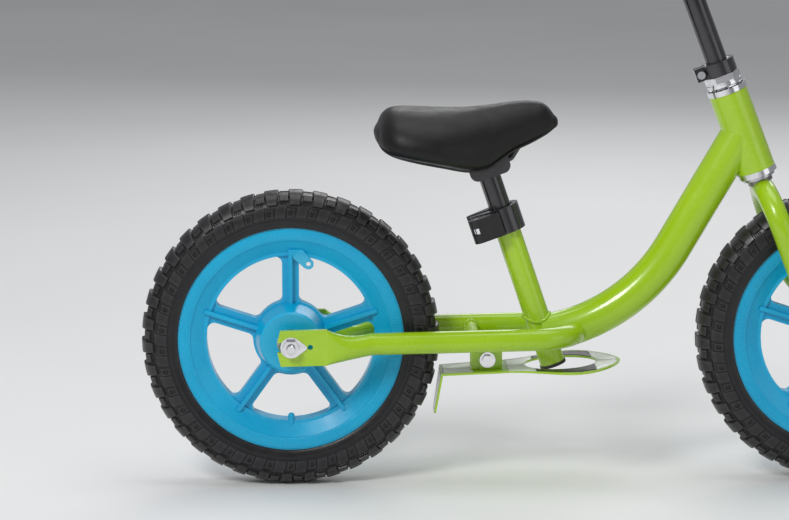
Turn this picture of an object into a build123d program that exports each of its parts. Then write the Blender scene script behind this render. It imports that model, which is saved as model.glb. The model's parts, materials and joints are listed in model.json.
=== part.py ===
from build123d import *
import os
from math import atan2, cos, degrees, radians, sin

# Child's balance bike with 12 inch foam tyres.
# +X is forward, +Y is the bike's left, +Z is up; millimetres.
# The origin is on the ground, midway between the two axles.

os.makedirs("parts", exist_ok=True)

# ---- Driving dimensions ----
WHEELBASE = 560.0
TYRE_RADIUS = 150.0
TYRE_WIDTH = 45.0
RIM_RADIUS = 113.5
RIM_HALF_WIDTH = 17.0
SPOKE_COUNT = 5
HUB_HALF_WIDTH = 34.0
AXLE_RADIUS = 4.7625  # 3/8 inch axle

MAIN_TUBE_RADIUS = 19.05  # 1.5 inch tube
SEAT_TUBE_RADIUS = 12.7  # 1 inch tube
STAY_RADIUS = 11.1  # 7/8 inch tube, also the seat post, handlebar post and bar
TUBE_WALL = 1.5
STAY_HALF_SPACING = 44.0
SLIDE_CLEARANCE = 0.05  # radial, between telescoping tubes

SEAT_TUBE_LEAN = 18.8  # degrees, top to the rear
STEERING_LEAN = 21.0  # degrees, top to the rear
FORK_OFFSET = 25.2  # front axle ahead of the steering axis
PLATE_TILT = 3.0  # degrees, nose of the footplate up

REAR_X = -WHEELBASE / 2
FRONT_X = WHEELBASE / 2
AXLE_Z = TYRE_RADIUS


# ---- Reference frames ----
def leaning_frame(x, z, lean, offset=0.0):
    """A frame whose Z runs up a tube that leans back, and whose X points forward."""
    up = Vector(-sin(radians(lean)), 0, cos(radians(lean)))
    ahead = Vector(cos(radians(lean)), 0, sin(radians(lean)))
    return Plane(origin=Vector(x, 0, z) + ahead * offset, x_dir=ahead, z_dir=up)


# Seat tube axis at the height of the stays.
SEAT = leaning_frame(REAR_X + 254.3, 153.0, SEAT_TUBE_LEAN)
# Steering axis, from the point nearest to the front axle.
STEER = leaning_frame(FRONT_X, AXLE_Z, STEERING_LEAN, -FORK_OFFSET)
# The stays rise slightly towards the front.
STAYS = leaning_frame(REAR_X, 148.8, 1.1)


def at(frame, ahead, across, along):
    """A point given in a leaning frame."""
    return frame.from_local_coords(Vector(ahead, across, along))


def crossways(frame, ahead, along):
    """A frame whose Z points to the bike's left and whose Y runs up a leaning frame."""
    return Plane(origin=at(frame, ahead, 0, along), x_dir=-frame.x_dir, z_dir=(0, 1, 0))


# ---- Helpers ----
def save(piece, name):
    piece.label = name
    export_step(piece, f"parts/{name}.step")


def ring(inner, outer, low, high):
    """The (radius, height) outline of a plain ring."""
    return [(inner, low), (outer, low), (outer, high), (inner, high)]


def turned(frame, outline, both_sides=False):
    """A piece turned about a frame's Z axis from (radius, height) points."""
    section = Plane(origin=frame.origin, x_dir=frame.x_dir, z_dir=-frame.y_dir)
    with BuildPart() as piece:
        with BuildSketch(section):
            with BuildLine():
                Polyline(*outline, close=True)
            make_face()
        revolve(axis=Axis(section.origin, frame.z_dir))
        if both_sides:
            mirror(about=Plane.XZ)
    return piece.part


def hexagon(frame, across_flats, bore, low, high, both_sides=False):
    """A hexagon nut or bolt head between two heights of a frame; a bore of 0 is solid."""
    with BuildPart() as piece:
        with BuildSketch(frame.offset(low)):
            RegularPolygon(across_flats / 2, 6, major_radius=False)
            if bore:
                Circle(bore, mode=Mode.SUBTRACT)
        extrude(amount=high - low)
        if both_sides:
            mirror(about=Plane.XZ)
    return piece.part


def ball_ring(frame, count, pitch, radius, height, both_sides=False):
    """Loose bearing balls in a circle round a frame's Z axis."""
    with BuildPart() as balls:
        with Locations(frame.offset(height)):
            with PolarLocations(pitch, count):
                Sphere(radius)
        if both_sides:
            mirror(about=Plane.XZ)
    return balls.part


def swept_tube(path, radius, wall):
    """A round tube along a path; a wall of 0 gives a solid bar."""
    with BuildPart() as tube:
        with BuildLine():
            add(path)
        with BuildSketch(Plane(origin=path @ 0, z_dir=path % 0)):
            Circle(radius)
            if wall:
                Circle(radius - wall, mode=Mode.SUBTRACT)
        sweep()
    return tube.part


# ---- Wheels ----
BEAD_HALF_WIDTH = 14.5
BED_RADIUS = 104.0
FLANGE_INNER_RADIUS = 101.0
RIM_INNER_RADIUS = 84.5
RIM_INNER_HALF_WIDTH = 9.5
CHANNEL_START = 88.0  # where the rim's concave sides begin
CHANNEL_RADIUS = 15.4
HUB_RADIUS = 29.0
HUB_ROOT_RADIUS = 36.0
SPOKE_WIDTH = 17.0
SPOKE_HALF_THICKNESS = 7.0
RIB_WIDTH = 4.0
RIB_HALF_THICKNESS = 12.5
RIB_END = 91.0
CORNER_RADIUS = 7.0
BEARING_RADIUS = 14.0
BEARING_DEPTH = 9.0
AXLE_SLEEVE_RADIUS = 7.5
BALL_RADIUS = 2.4
BALL_PITCH = 10.4
TAB_EYE_RADIUS = 5.3
WASHER_RADIUS = 10.5
WASHER_THICKNESS = 1.6
WASHER_TIP_AHEAD = 13.2
WASHER_TIP_RADIUS = 2.6
NUT_HEIGHT = 7.0
THREAD_RELIEF = 0.5  # a narrow groove in the axle just outside each nut
AXLE_END = 4.4  # how far the axle stands past its nuts
VALVE_RADIUS = 3.3
VALVE_SIDE = -7.5  # to the bike's right of the rim's middle
VALVE_LOW = -92.5  # below the axle
VALVE_HIGH = -77.0


def axle_frame(x):
    """A wheel's frame: Z along the axle to the bike's left, Y up, X to the rear."""
    return Plane(origin=(x, 0, AXLE_Z), x_dir=(-1, 0, 0), z_dir=(0, 1, 0))


def mirrored_outline(half):
    """Closes a (radius, height) outline by repeating it below height 0."""
    return half + [(radius, -height) for radius, height in reversed(half)]


def make_tyre(hub):
    shoulder = TYRE_WIDTH / 2
    half = [
        (BED_RADIUS, BEAD_HALF_WIDTH), (RIM_RADIUS, BEAD_HALF_WIDTH),
        (RIM_RADIUS + 0.3, shoulder - 3), (RIM_RADIUS + 9, shoulder),
        (TYRE_RADIUS - 12, shoulder), (TYRE_RADIUS - 4, shoulder - 4),
        (TYRE_RADIUS - 1, shoulder - 10), (TYRE_RADIUS, shoulder - 17),
    ]
    return turned(hub, mirrored_outline(half))


def make_wheel(hub):
    """The moulded wheel: reeded rim, five ribbed spokes and a raised hub."""
    rim = [
        (RIM_INNER_RADIUS, RIM_INNER_HALF_WIDTH), (CHANNEL_START, RIM_INNER_HALF_WIDTH),
        (FLANGE_INNER_RADIUS, RIM_HALF_WIDTH - 1), (FLANGE_INNER_RADIUS, RIM_HALF_WIDTH),
        (RIM_RADIUS, RIM_HALF_WIDTH), (RIM_RADIUS, BEAD_HALF_WIDTH),
        (BED_RADIUS, BEAD_HALF_WIDTH),
    ]
    boss = [
        (AXLE_SLEEVE_RADIUS, HUB_HALF_WIDTH - BEARING_DEPTH),
        (BEARING_RADIUS, HUB_HALF_WIDTH - BEARING_DEPTH), (BEARING_RADIUS, HUB_HALF_WIDTH),
        (HUB_RADIUS, HUB_HALF_WIDTH), (HUB_RADIUS + 2, HUB_HALF_WIDTH - 2),
        (HUB_ROOT_RADIUS, SPOKE_HALF_THICKNESS + 3),
    ]
    channel = RIM_INNER_HALF_WIDTH + CHANNEL_RADIUS
    half_pitch = 180 / SPOKE_COUNT
    side = Axis(hub.origin, hub.z_dir)
    section = Plane(origin=hub.origin, x_dir=hub.x_dir, z_dir=-hub.y_dir)
    with BuildPart() as wheel:
        for outline in (rim, boss):
            with BuildSketch(section):
                with BuildLine():
                    Polyline(*mirrored_outline(outline), close=True)
                make_face()
            revolve(axis=side)
        with BuildSketch(section):
            for height in (channel, -channel):
                with Locations((CHANNEL_START, height)):
                    Circle(CHANNEL_RADIUS)
        revolve(axis=side, mode=Mode.SUBTRACT)
        with BuildSketch(hub.offset(-SPOKE_HALF_THICKNESS)):
            Circle(RIM_INNER_RADIUS + 1)
            Circle(HUB_RADIUS, mode=Mode.SUBTRACT)
            with BuildSketch(mode=Mode.PRIVATE) as window:
                spans = []
                for radius in (RIM_INNER_RADIUS, HUB_ROOT_RADIUS + 2):
                    spans.append(radians(half_pitch) - SPOKE_WIDTH / 2 / radius)
                outer, inner = [
                    (radius * cos(span), radius * sin(span))
                    for radius, span in zip((RIM_INNER_RADIUS, HUB_ROOT_RADIUS + 2), spans)
                ]
                with BuildLine():
                    RadiusArc((outer[0], -outer[1]), outer, -RIM_INNER_RADIUS)
                    Line(outer, inner)
                    RadiusArc(inner, (inner[0], -inner[1]), HUB_ROOT_RADIUS + 2)
                    Line((inner[0], -inner[1]), (outer[0], -outer[1]))
                make_face()
                fillet(window.vertices(), CORNER_RADIUS)
            with PolarLocations(0, SPOKE_COUNT, start_angle=90 + half_pitch):
                add(window.sketch, mode=Mode.SUBTRACT)
        extrude(amount=2 * SPOKE_HALF_THICKNESS)
        with BuildSketch(hub.offset(-RIB_HALF_THICKNESS)):
            with PolarLocations((HUB_RADIUS + RIB_END) / 2, SPOKE_COUNT, start_angle=90):
                Rectangle(RIB_END - HUB_RADIUS, RIB_WIDTH)
        extrude(amount=2 * RIB_HALF_THICKNESS)
        # A lug with an eye beside the top spoke, on the right-hand side.
        with BuildSketch(hub.offset(-RIB_HALF_THICKNESS)):
            with Locations((-18, 76)):
                Circle(TAB_EYE_RADIUS)
            with BuildLine():
                Polyline((-1, 91), (-12, 91), (-23, 78), (-14, 72), (-3, 82), close=True)
            make_face()
            with Locations((-18, 76)):
                Circle(TAB_EYE_RADIUS - 3, mode=Mode.SUBTRACT)
        extrude(amount=3)
        # The dummy valve, with a rounded top, stands on the inside of the rim.
        valve = (hub.origin.X, VALVE_SIDE)
        with BuildSketch(Plane.XY.offset(AXLE_Z + VALVE_LOW)):
            with Locations(valve):
                Circle(VALVE_RADIUS)
        extrude(amount=VALVE_HIGH - VALVE_RADIUS - VALVE_LOW)
        with Locations((*valve, AXLE_Z + VALVE_HIGH - VALVE_RADIUS)):
            Sphere(VALVE_RADIUS)
    return wheel.part


def make_wheel_set(end, x, plate_inner, plate_outer):
    """A wheel with its bearings, axle and fastenings between two dropout plates."""
    hub = axle_frame(x)
    bearing_low = HUB_HALF_WIDTH - BEARING_DEPTH
    race = BEARING_DEPTH / 2 + bearing_low
    nut_low = plate_outer + WASHER_THICKNESS
    nut_top = nut_low + NUT_HEIGHT
    save(make_tyre(hub), f"{end}_tyre")
    save(make_wheel(hub), f"{end}_wheel")
    cup = [
        (BEARING_RADIUS, bearing_low), (BEARING_RADIUS, HUB_HALF_WIDTH),
        (BALL_PITCH + 0.6, HUB_HALF_WIDTH), (BALL_PITCH + 0.6, race + BALL_RADIUS),
        (BALL_PITCH + BALL_RADIUS + 0.05, race + BALL_RADIUS),
        (BALL_PITCH + BALL_RADIUS + 0.05, race - BALL_RADIUS),
        (BALL_PITCH + 0.6, race - BALL_RADIUS), (BALL_PITCH + 0.6, bearing_low),
    ]
    save(turned(hub, cup, True), f"{end}_bearing_cups")
    save(ball_ring(hub, 12, BALL_PITCH, BALL_RADIUS, race, True), f"{end}_bearing_balls")
    cone = [
        (AXLE_RADIUS, bearing_low), (BALL_PITCH - BALL_RADIUS - 0.05, bearing_low),
        (BALL_PITCH - BALL_RADIUS - 0.05, HUB_HALF_WIDTH + 1),
        (BALL_PITCH, HUB_HALF_WIDTH + 1), (BALL_PITCH, plate_inner), (AXLE_RADIUS, plate_inner),
    ]
    save(turned(hub, cone, True), f"{end}_axle_cones")
    half = nut_top + AXLE_END
    root = AXLE_RADIUS - 0.8
    axle = [
        (0, half), (root, half), (AXLE_RADIUS, half - 0.8),
        (AXLE_RADIUS, nut_top + THREAD_RELIEF), (root, nut_top + THREAD_RELIEF),
        (root, nut_top), (AXLE_RADIUS, nut_top),
    ]
    save(turned(hub, mirrored_outline(axle)), f"{end}_axle")
    nuts = hexagon(hub, 15.0, AXLE_RADIUS, nut_low, nut_top, True)
    save(nuts, f"{end}_axle_nuts")
    return hub


def make_tab_washers(hub, end, plate_outer, tip_direction):
    """Teardrop washers whose points lie towards the hole in each dropout."""
    direction = radians(tip_direction)
    tip = (WASHER_TIP_AHEAD * cos(direction), WASHER_TIP_AHEAD * sin(direction))
    with BuildPart() as washers:
        with BuildSketch(hub.offset(plate_outer)):
            with BuildSketch(mode=Mode.PRIVATE) as ends:
                Circle(WASHER_RADIUS)
                with Locations(tip):
                    Circle(WASHER_TIP_RADIUS)
            add(make_hull(ends.edges(), mode=Mode.PRIVATE))
            Circle(AXLE_RADIUS, mode=Mode.SUBTRACT)
        extrude(amount=WASHER_THICKNESS)
        mirror(about=Plane.XZ)
    save(washers.part, f"{end}_tab_washers")


# ---- Frame tubes ----
MAIN_BEND_RADIUS = 180.0
MAIN_BEND_CENTRE = (REAR_X + 230.0, 330.0)
MAIN_START_ANGLE = -82.3
MAIN_CLIMB = 60.0  # degrees, slope of the straight stretch up to the head tube
MAIN_STRAIGHT = 135.0
END_PLATE_TURN = 1.0  # degrees of the bend
SEAT_TUBE_LOW = -33.0
SEAT_TUBE_HIGH = 134.0
HEAD_TUBE_LOW = 190.0
HEAD_TUBE_HIGH = 274.0
HEAD_TUBE_RADIUS = 19.5
HEAD_TUBE_WALL = 4.5
STAY_BEND_START = 245.0
STAY_BEND_RADIUS = 43.0
STAY_START = 80.0
STAY_BULGE = 43.0  # where the flattened end is still swollen
DROPOUT_INNER = 51.0
DROPOUT_OUTER = 57.0
DROPOUT_HALF_HEIGHT = 18.0
DROPOUT_FRONT = 36.0
DROPOUT_REAR = -13.5
AXLE_SLOT = 5.0
TAB_HOLE_AHEAD = 19.2
TAB_HOLE_RADIUS = 2.7
BRIDGE_X = REAR_X + 184.0
BRIDGE_RADIUS = 6.0
BRIDGE_Z = 152.3


def bend_frame(angle):
    """The main tube's cross section, at an angle round its bend."""
    turn = radians(angle)
    reach = Vector(cos(turn), 0, sin(turn)) * MAIN_BEND_RADIUS
    centre = Vector(MAIN_BEND_CENTRE[0], 0, MAIN_BEND_CENTRE[1])
    return Plane(origin=centre + reach, z_dir=(-sin(turn), 0, cos(turn)))


def main_tube_solid(radius, start_angle):
    """A round bar along the main tube's bend and its straight stretch."""
    end_angle = MAIN_CLIMB - 90
    centre = (MAIN_BEND_CENTRE[0], 0, MAIN_BEND_CENTRE[1])
    with BuildPart() as bar:
        with BuildSketch(bend_frame(start_angle)):
            Circle(radius)
        revolve(axis=Axis(centre, (0, -1, 0)), revolution_arc=end_angle - start_angle)
        with BuildSketch(bend_frame(end_angle)):
            Circle(radius)
        extrude(amount=MAIN_STRAIGHT)
    return bar.part


def make_frame_tubes():
    seat_rod = turned(SEAT, ring(0, SEAT_TUBE_RADIUS, SEAT_TUBE_LOW, SEAT_TUBE_HIGH))
    head_rod = turned(STEER, ring(0, HEAD_TUBE_RADIUS, HEAD_TUBE_LOW, HEAD_TUBE_HIGH))
    main_rod = main_tube_solid(MAIN_TUBE_RADIUS, MAIN_START_ANGLE)

    bore = STAY_RADIUS + SLIDE_CLEARANCE
    seat_tube = turned(SEAT, ring(bore, SEAT_TUBE_RADIUS, SEAT_TUBE_LOW, SEAT_TUBE_HIGH))
    save(seat_tube, "seat_tube")
    plug = [
        (0, SEAT_TUBE_LOW - 3), (SEAT_TUBE_RADIUS + 0.8, SEAT_TUBE_LOW - 3),
        (SEAT_TUBE_RADIUS + 0.8, SEAT_TUBE_LOW), (bore, SEAT_TUBE_LOW),
        (bore, SEAT_TUBE_LOW + 12), (0, SEAT_TUBE_LOW + 12),
    ]
    save(turned(SEAT, plug), "seat_tube_plug")

    cup_bore = HEAD_TUBE_RADIUS - HEAD_TUBE_WALL
    head_tube = turned(STEER, ring(cup_bore, HEAD_TUBE_RADIUS, HEAD_TUBE_LOW, HEAD_TUBE_HIGH))
    save(head_tube, "head_tube")

    with BuildPart() as main_tube:
        # The hollow starts a little way in, so a plate closes the rear end.
        add(main_rod)
        hollow = main_tube_solid(MAIN_TUBE_RADIUS - TUBE_WALL, MAIN_START_ANGLE + END_PLATE_TURN)
        add(hollow, mode=Mode.SUBTRACT)
        add(seat_rod, mode=Mode.SUBTRACT)
        add(head_rod, mode=Mode.SUBTRACT)
    save(main_tube.part, "main_tube")

    stay = make_stay(main_rod)
    save(stay, "stay_left")
    save(mirror(stay, about=Plane.XZ), "stay_right")

    with BuildPart() as bridge:
        with BuildSketch(Plane.XZ):
            with Locations((BRIDGE_X, BRIDGE_Z)):
                Circle(BRIDGE_RADIUS)
        extrude(amount=STAY_HALF_SPACING, both=True)
        for side in (1, -1):
            start = STAYS.from_local_coords(Vector(0, side * STAY_HALF_SPACING, 0))
            with BuildSketch(Plane(origin=start, z_dir=STAYS.x_dir)):
                Circle(STAY_RADIUS)
            extrude(amount=STAY_BEND_START, mode=Mode.SUBTRACT)
    save(bridge.part, "stay_bridge")


def make_stay(main_rod):
    """The left stay: a bent tube, flattened at the rear into a slotted dropout."""
    with BuildLine(STAYS) as path:
        run = Line((STAY_START, STAY_HALF_SPACING), (STAY_BEND_START, STAY_HALF_SPACING))
        JernArc(run @ 1, (1, 0), STAY_BEND_RADIUS, -88)
    tube_end = STAYS.from_local_coords(Vector(STAY_START, STAY_HALF_SPACING, 0))
    slab_y = (DROPOUT_INNER + DROPOUT_OUTER) / 2
    slab_end = STAYS.from_local_coords(Vector(DROPOUT_FRONT, slab_y, 0))
    bulge = STAYS.from_local_coords(Vector(STAY_BULGE, slab_y - 3, -1.5))
    axle_height = AXLE_Z - STAYS.origin.Z
    with BuildPart() as stay:
        add(swept_tube(path.wire(), STAY_RADIUS, TUBE_WALL))
        with BuildSketch(Plane(origin=tube_end, x_dir=(0, 1, 0), z_dir=-STAYS.x_dir)):
            RectangleRounded(2 * STAY_RADIUS, 2 * STAY_RADIUS, STAY_RADIUS - 0.05)
        with BuildSketch(Plane(origin=bulge, x_dir=(0, 1, 0), z_dir=-STAYS.x_dir)):
            RectangleRounded(14, 31, 6.5)
        with BuildSketch(Plane(origin=slab_end, x_dir=(0, 1, 0), z_dir=-STAYS.x_dir)):
            RectangleRounded(DROPOUT_OUTER - DROPOUT_INNER, 2 * DROPOUT_HALF_HEIGHT, 2.5)
        loft()
        side = Plane(
            origin=STAYS.origin + Vector(0, DROPOUT_INNER, 0),
            x_dir=STAYS.x_dir, z_dir=(0, -1, 0),
        )
        with BuildSketch(side):
            with BuildLine():
                Polyline(
                    (DROPOUT_FRONT, DROPOUT_HALF_HEIGHT), (DROPOUT_REAR + 3, DROPOUT_HALF_HEIGHT),
                    (DROPOUT_REAR, AXLE_SLOT), (DROPOUT_REAR, -AXLE_SLOT),
                    (DROPOUT_REAR + 3, -DROPOUT_HALF_HEIGHT),
                    (DROPOUT_FRONT, -DROPOUT_HALF_HEIGHT), close=True,
                )
            make_face()
            with Locations((0, axle_height)):
                Circle(AXLE_SLOT, mode=Mode.SUBTRACT)
            with Locations((-AXLE_SLOT * 2, axle_height)):
                Rectangle(AXLE_SLOT * 4, AXLE_SLOT * 2, mode=Mode.SUBTRACT)
            with Locations((TAB_HOLE_AHEAD, axle_height - 0.3)):
                Circle(TAB_HOLE_RADIUS, mode=Mode.SUBTRACT)
        extrude(amount=DROPOUT_INNER - DROPOUT_OUTER)
        add(main_rod, mode=Mode.SUBTRACT)
    return stay.part


# ---- Footplate ----
PLATE = leaning_frame(REAR_X + 200.0, 117.5, PLATE_TILT)
PLATE_THICKNESS = 2.0
PLATE_BOLT_Z = 127.5
PLATE_BOLT_AHEAD = -2.0
PLATE_BOLT_RADIUS = 3.0
CHEEK_INNER = 10.0
CHEEK_OUTER = 13.0
EAR_OUTER = 15.0
FLANGE_DROP = 44.0


def make_footplate():
    """A pressed steel plate with an oval hole, two upright ears and a rear flange."""
    with BuildPart() as plate:
        with BuildSketch(PLATE):
            with BuildLine():
                Polyline((-49, 0), (-49, 24), (8, 28))
                Spline((8, 28), (52, 42), (89, 56), (117, 37), (134, 0))
                mirror(about=Plane.XZ)
            make_face()
            with Locations((73, 0)):
                Ellipse(37, 32, mode=Mode.SUBTRACT)
        extrude(amount=-PLATE_THICKNESS)
        # The ears stand up on both sides of the frame's bracket.
        with BuildSketch(Plane.XZ.offset(-EAR_OUTER)):
            with Locations((PLATE.origin.X + PLATE_BOLT_AHEAD, PLATE_BOLT_Z)):
                Circle(8)
                with Locations((0, -6)):
                    Rectangle(16, 12)
                Circle(PLATE_BOLT_RADIUS, mode=Mode.SUBTRACT)
        extrude(amount=EAR_OUTER - CHEEK_OUTER)
        mirror(about=Plane.XZ)
        # The flange hangs from the rear edge and narrows towards its end.
        top = PLATE.from_local_coords(Vector(-49, 0, 0))
        down = Vector(-0.16, 0, -1).normalized()
        with BuildSketch(Plane(origin=top, x_dir=(0, 1, 0), z_dir=Vector(0, 1, 0).cross(down))):
            with BuildLine():
                Polyline((-24, 0), (24, 0), (13, FLANGE_DROP), (-13, FLANGE_DROP), close=True)
            flange = make_face()
            fillet(flange.vertices().group_by(Axis.Y)[-1], 6)
        extrude(amount=-PLATE_THICKNESS)
    save(plate.part, "footplate")

    with BuildPart() as bracket:
        with BuildSketch(Plane.XZ.offset(-CHEEK_OUTER)):
            with Locations((REAR_X + 197.5, 132)):
                Rectangle(31, 34)
            with Locations((PLATE.origin.X + PLATE_BOLT_AHEAD, PLATE_BOLT_Z)):
                Circle(PLATE_BOLT_RADIUS, mode=Mode.SUBTRACT)
        extrude(amount=CHEEK_OUTER - CHEEK_INNER)
        mirror(about=Plane.XZ)
        with BuildSketch(Plane.XY.offset(144)):
            with Locations((REAR_X + 197.5, 0)):
                Rectangle(31, 2 * CHEEK_INNER)
        extrude(amount=3)
        with BuildSketch(Plane.XZ):
            with Locations((BRIDGE_X, BRIDGE_Z)):
                Circle(BRIDGE_RADIUS)
        extrude(amount=STAY_HALF_SPACING, both=True, mode=Mode.SUBTRACT)
        below = PLATE.offset(-20)
        with BuildSketch(below):
            Rectangle(120, 60)
        extrude(amount=20.3, mode=Mode.SUBTRACT)
    save(bracket.part, "footplate_bracket")

    bolt_centre = (PLATE.origin.X + PLATE_BOLT_AHEAD, 0, PLATE_BOLT_Z)
    cross = Plane(origin=bolt_centre, x_dir=(-1, 0, 0), z_dir=(0, 1, 0))
    washer_outer = EAR_OUTER + 1.4
    with BuildPart() as bolt:
        add(hexagon(cross, 10.0, 0, -washer_outer - 4.5, -washer_outer))
        with BuildSketch(cross.offset(-washer_outer)):
            Circle(PLATE_BOLT_RADIUS)
        extrude(amount=2 * washer_outer + 7)
    save(bolt.part, "footplate_bolt")
    washers = turned(cross, ring(PLATE_BOLT_RADIUS, 8.0, EAR_OUTER, washer_outer), True)
    save(washers, "footplate_washers")
    nut = hexagon(cross, 10.0, PLATE_BOLT_RADIUS, washer_outer, washer_outer + 5)
    save(nut, "footplate_nut")


# ---- Fork and headset ----
CROWN_CENTRE = 170.0  # height of the bend's centre line up the steering axis
BLADE_KNEE = 70.0
FORK_PLATE_INNER = 41.0
FORK_PLATE_OUTER = 47.0
FORK_PLATE_HALF_WIDTH = 15.0
STEERER_RADIUS = 12.7
STEERER_TOP = 307.0
CUP_RADIUS = 20.0
CUP_SKIRT = 8.0
CUP_FLANGE = 2.8
HEADSET_BALL = 1.5
HEADSET_PITCH = 15.0
POST_LOW = 205.0
BAR_CENTRE = 394.0
CLAMP_RADIUS = 16.0
CLAMP_HALF_WIDTH = 22.0
CLAMP_GAP = 1.5
CLAMP_SCREW_RADIUS = 2.5
CLAMP_SCREW_AHEAD = 19.5
CLAMP_SCREW_SIDE = 14.0
GRIP_LENGTH = 100.0


def make_fork():
    """Two bent blades that meet under the steerer and end in slotted plates."""
    axle = at(STEER, FORK_OFFSET, 0, 0)
    knee = at(STEER, 0, 0, BLADE_KNEE)
    up_blade = (knee - axle).normalized()
    end = axle + up_blade * 40 + Vector(0, STAY_HALF_SPACING, 0)
    with BuildLine() as path:
        FilletPolyline(
            at(STEER, 0, 0, CROWN_CENTRE), at(STEER, 0, STAY_HALF_SPACING, CROWN_CENTRE),
            at(STEER, 0, STAY_HALF_SPACING, BLADE_KNEE), end,
            radius=[STAY_HALF_SPACING - 0.5, 60],
        )
    slab_y = (FORK_PLATE_INNER + FORK_PLATE_OUTER) / 2
    slab_end = axle + up_blade * 24 + Vector(0, slab_y, 0)
    with BuildPart() as blade:
        add(swept_tube(path.wire(), STAY_RADIUS, TUBE_WALL))
        with BuildSketch(Plane(origin=end, x_dir=(0, 1, 0), z_dir=-up_blade)):
            Circle(STAY_RADIUS)
        with BuildSketch(Plane(origin=slab_end, x_dir=(0, 1, 0), z_dir=-up_blade)):
            thickness = FORK_PLATE_OUTER - FORK_PLATE_INNER
            RectangleRounded(thickness, 2 * FORK_PLATE_HALF_WIDTH, 2.5)
        loft()
        face = Plane(
            origin=axle + Vector(0, FORK_PLATE_INNER, 0), x_dir=up_blade, z_dir=(0, -1, 0)
        )
        with BuildSketch(face):
            with BuildLine():
                Polyline(
                    (24, FORK_PLATE_HALF_WIDTH), (-10, FORK_PLATE_HALF_WIDTH), (-14, AXLE_SLOT),
                    (-14, -AXLE_SLOT), (-10, -FORK_PLATE_HALF_WIDTH),
                    (24, -FORK_PLATE_HALF_WIDTH), close=True,
                )
            make_face()
            Circle(AXLE_SLOT, mode=Mode.SUBTRACT)
            with Locations((-AXLE_SLOT * 2, 0)):
                Rectangle(AXLE_SLOT * 4, AXLE_SLOT * 2, mode=Mode.SUBTRACT)
            with Locations((TAB_HOLE_AHEAD, 0)):
                Circle(TAB_HOLE_RADIUS, mode=Mode.SUBTRACT)
        extrude(amount=FORK_PLATE_INNER - FORK_PLATE_OUTER)
    save(blade.part, "fork_blade_left")
    save(mirror(blade.part, about=Plane.XZ), "fork_blade_right")

    bore = STAY_RADIUS + SLIDE_CLEARANCE
    with BuildPart() as steerer:
        add(turned(STEER, ring(bore, STEERER_RADIUS, CROWN_CENTRE + 6, STEERER_TOP)))
        add(swept_tube(path.wire(), STAY_RADIUS, 0), mode=Mode.SUBTRACT)
        mirrored = mirror(swept_tube(path.wire(), STAY_RADIUS, 0), about=Plane.XZ, mode=Mode.PRIVATE)
        add(mirrored, mode=Mode.SUBTRACT)
    save(steerer.part, "steerer")
    return up_blade


def headset_cup(edge, inward):
    """The outline of a cup in one end of the head tube; inward is +1 at the lower end."""
    return [
        (STEERER_RADIUS + 0.5, edge + inward * CUP_SKIRT),
        (HEAD_TUBE_RADIUS - HEAD_TUBE_WALL, edge + inward * CUP_SKIRT),
        (HEAD_TUBE_RADIUS - HEAD_TUBE_WALL, edge), (CUP_RADIUS, edge),
        (CUP_RADIUS, edge - inward * (CUP_FLANGE + 2.7)),
        (CUP_RADIUS - 1.5, edge - inward * (CUP_FLANGE + 2.7)),
        (CUP_RADIUS - 1.5, edge - inward * CUP_FLANGE),
        (STEERER_RADIUS + 0.5, edge - inward * CUP_FLANGE),
    ]


def make_headset():
    ball_gap = CUP_FLANGE + HEADSET_BALL + 0.1
    lower_ball = HEAD_TUBE_LOW - ball_gap
    upper_ball = HEAD_TUBE_HIGH + ball_gap
    with BuildPart() as cups:
        add(turned(STEER, headset_cup(HEAD_TUBE_LOW, 1)))
        add(turned(STEER, headset_cup(HEAD_TUBE_HIGH, -1)))
    save(cups.part, "headset_cups")
    with BuildPart() as balls:
        for height in (lower_ball, upper_ball):
            add(ball_ring(STEER, 20, HEADSET_PITCH, HEADSET_BALL, height))
    save(balls.part, "headset_balls")
    race_top = lower_ball - HEADSET_BALL - 0.1
    crown_top = CROWN_CENTRE + STAY_RADIUS
    save(turned(STEER, ring(STEERER_RADIUS, 16.5, crown_top + 0.1, race_top)), "crown_race")
    race_low = upper_ball + HEADSET_BALL + 0.1
    top_race = [
        (STEERER_RADIUS, race_low), (16.6, race_low), (18, race_low + 2), (18, race_low + 5),
        (STEERER_RADIUS, race_low + 5),
    ]
    save(turned(STEER, top_race), "headset_top_race")
    washer_low = race_low + 5
    save(turned(STEER, ring(STEERER_RADIUS, 17, washer_low, washer_low + 1.5)), "headset_washer")
    nut = hexagon(STEER, 32.0, STEERER_RADIUS, washer_low + 1.5, washer_low + 8)
    save(nut, "headset_locknut")

    collar_low = washer_low + 8.5
    with BuildPart() as collar:
        with BuildSketch(STEER.offset(collar_low)):
            Circle(STEERER_RADIUS + 4.5)
            with Locations((-19, 0)):
                Rectangle(12, 13)
            Circle(STEERER_RADIUS, mode=Mode.SUBTRACT)
            with Locations((-20, 0)):
                Rectangle(20, 3, mode=Mode.SUBTRACT)
        extrude(amount=STEERER_TOP - collar_low)
        with BuildSketch(crossways(STEER, -20, (collar_low + STEERER_TOP) / 2)):
            Circle(2.5)
        extrude(amount=20, both=True, mode=Mode.SUBTRACT)
    save(collar.part, "post_clamp")
    cross = crossways(STEER, -20, (collar_low + STEERER_TOP) / 2)
    with BuildPart() as bolt:
        add(turned(cross, ring(0, 2.5, -6.5, 11)))
        add(turned(cross, ring(0, 4.0, -11, -6.5)))
    save(bolt.part, "post_clamp_bolt")
    save(hexagon(cross, 8.0, 2.5, 7.4, 10.5), "post_clamp_nut")


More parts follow.
